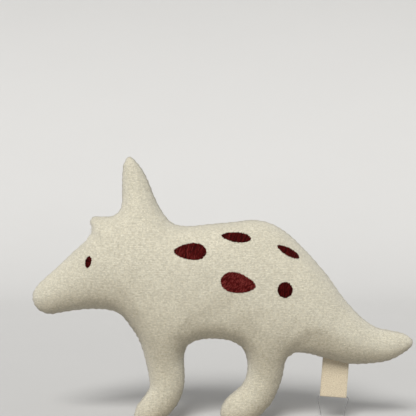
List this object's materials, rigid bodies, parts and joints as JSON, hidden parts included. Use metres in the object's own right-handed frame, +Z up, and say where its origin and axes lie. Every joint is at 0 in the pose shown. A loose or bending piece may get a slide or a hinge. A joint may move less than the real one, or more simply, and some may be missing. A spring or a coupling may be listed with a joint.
{
  "type": "stuffed dinosaur",
  "caption": "Flat-profile stuffed dinosaur in cream knit: tall crown horn, small brow nub, pointed tail, two legs in line, embroidered oval spots and eyes, folded seam label on a clear loop.",
  "frame": {"origin": "on the ground under the middle of the toy's outline, centred between its two sides", "axes": "+X from the muzzle towards the tail, +Y from the toy's left side to its right side, +Z up"},
  "size_m": [0.3599, 0.0788, 0.249],
  "materials": {
    "knit": "fine cotton knit, cream",
    "filling": "polyester fibre",
    "thread": "cotton sewing thread",
    "embroidery": "maroon satin stitch",
    "label_cotton": "unbleached cotton tape",
    "clear_plastic": "clear nylon"
  },
  "bodies": {
    "torso": {"torso_panel_left": "knit", "torso_panel_right": "knit", "torso_stuffing": "filling", "back_seam_thread": "thread", "rump_seam_thread": "thread", "belly_seam_thread": "thread", "shoulder_spot_left": "embroidery", "shoulder_spot_right": "embroidery", "back_spot_left": "embroidery", "back_spot_right": "embroidery", "rump_spot_left": "embroidery", "rump_spot_right": "embroidery", "flank_spot_left": "embroidery", "flank_spot_right": "embroidery", "hip_spot_left": "embroidery", "hip_spot_right": "embroidery"},
    "head": {"head_panel_left": "knit", "head_panel_right": "knit", "head_stuffing": "filling", "face_seam_thread": "thread", "eye_left": "embroidery", "eye_right": "embroidery"},
    "horn": {"horn_panel_left": "knit", "horn_panel_right": "knit", "horn_stuffing": "filling", "horn_seam_thread": "thread"},
    "front_leg": {"front_leg_panel_left": "knit", "front_leg_panel_right": "knit", "front_leg_stuffing": "filling", "front_leg_seam_thread": "thread"},
    "hind_leg": {"hind_leg_panel_left": "knit", "hind_leg_panel_right": "knit", "hind_leg_stuffing": "filling", "hind_leg_seam_thread": "thread"},
    "tail": {"tail_panel_left": "knit", "tail_panel_right": "knit", "tail_stuffing": "filling", "tail_seam_thread": "thread"},
    "label": {"label": "label_cotton"},
    "tag_loop": {"tag_loop": "clear_plastic", "tag_loop_lock": "clear_plastic"}
  },
  "joints": [
    {"name": "head_nod", "type": "hinge", "parent": "torso", "child": "head", "pos_m": [-0.068, 0, 0.141], "axis": [0, 1, 0], "range_deg": [-11, 11], "stiffness_Nm_per_rad": 0.8},
    {"name": "horn_bend", "type": "hinge", "parent": "head", "child": "horn", "pos_m": [-0.078, 0, 0.206], "axis": [0, 1, 0], "range_deg": [-14, 14], "stiffness_Nm_per_rad": 0.1},
    {"name": "front_leg_swing", "type": "hinge", "parent": "torso", "child": "front_leg", "pos_m": [-0.056, 0, 0.074], "axis": [0, 1, 0], "range_deg": [-16, 16], "stiffness_Nm_per_rad": 1.2},
    {"name": "hind_leg_swing", "type": "hinge", "parent": "torso", "child": "hind_leg", "pos_m": [0.042, 0, 0.066], "axis": [0, 1, 0], "range_deg": [-16, 16], "stiffness_Nm_per_rad": 1.2},
    {"name": "tail_bend", "type": "hinge", "parent": "torso", "child": "tail", "pos_m": [0.132, 0, 0.073], "axis": [0, 1, 0], "range_deg": [-16, 16], "stiffness_Nm_per_rad": 0.15},
    {"name": "label_flip", "type": "hinge", "parent": "torso", "child": "label", "pos_m": [0.1074, 0, 0.056], "axis": [0.9756, 0, -0.2195], "range_deg": [-60, 60]},
    {"name": "loop_swing", "type": "hinge", "parent": "label", "child": "tag_loop", "pos_m": [0.10496, 0, 0.02294], "axis": [0.9971, 0, -0.0767], "range_deg": [-60, 60]}
  ]
}
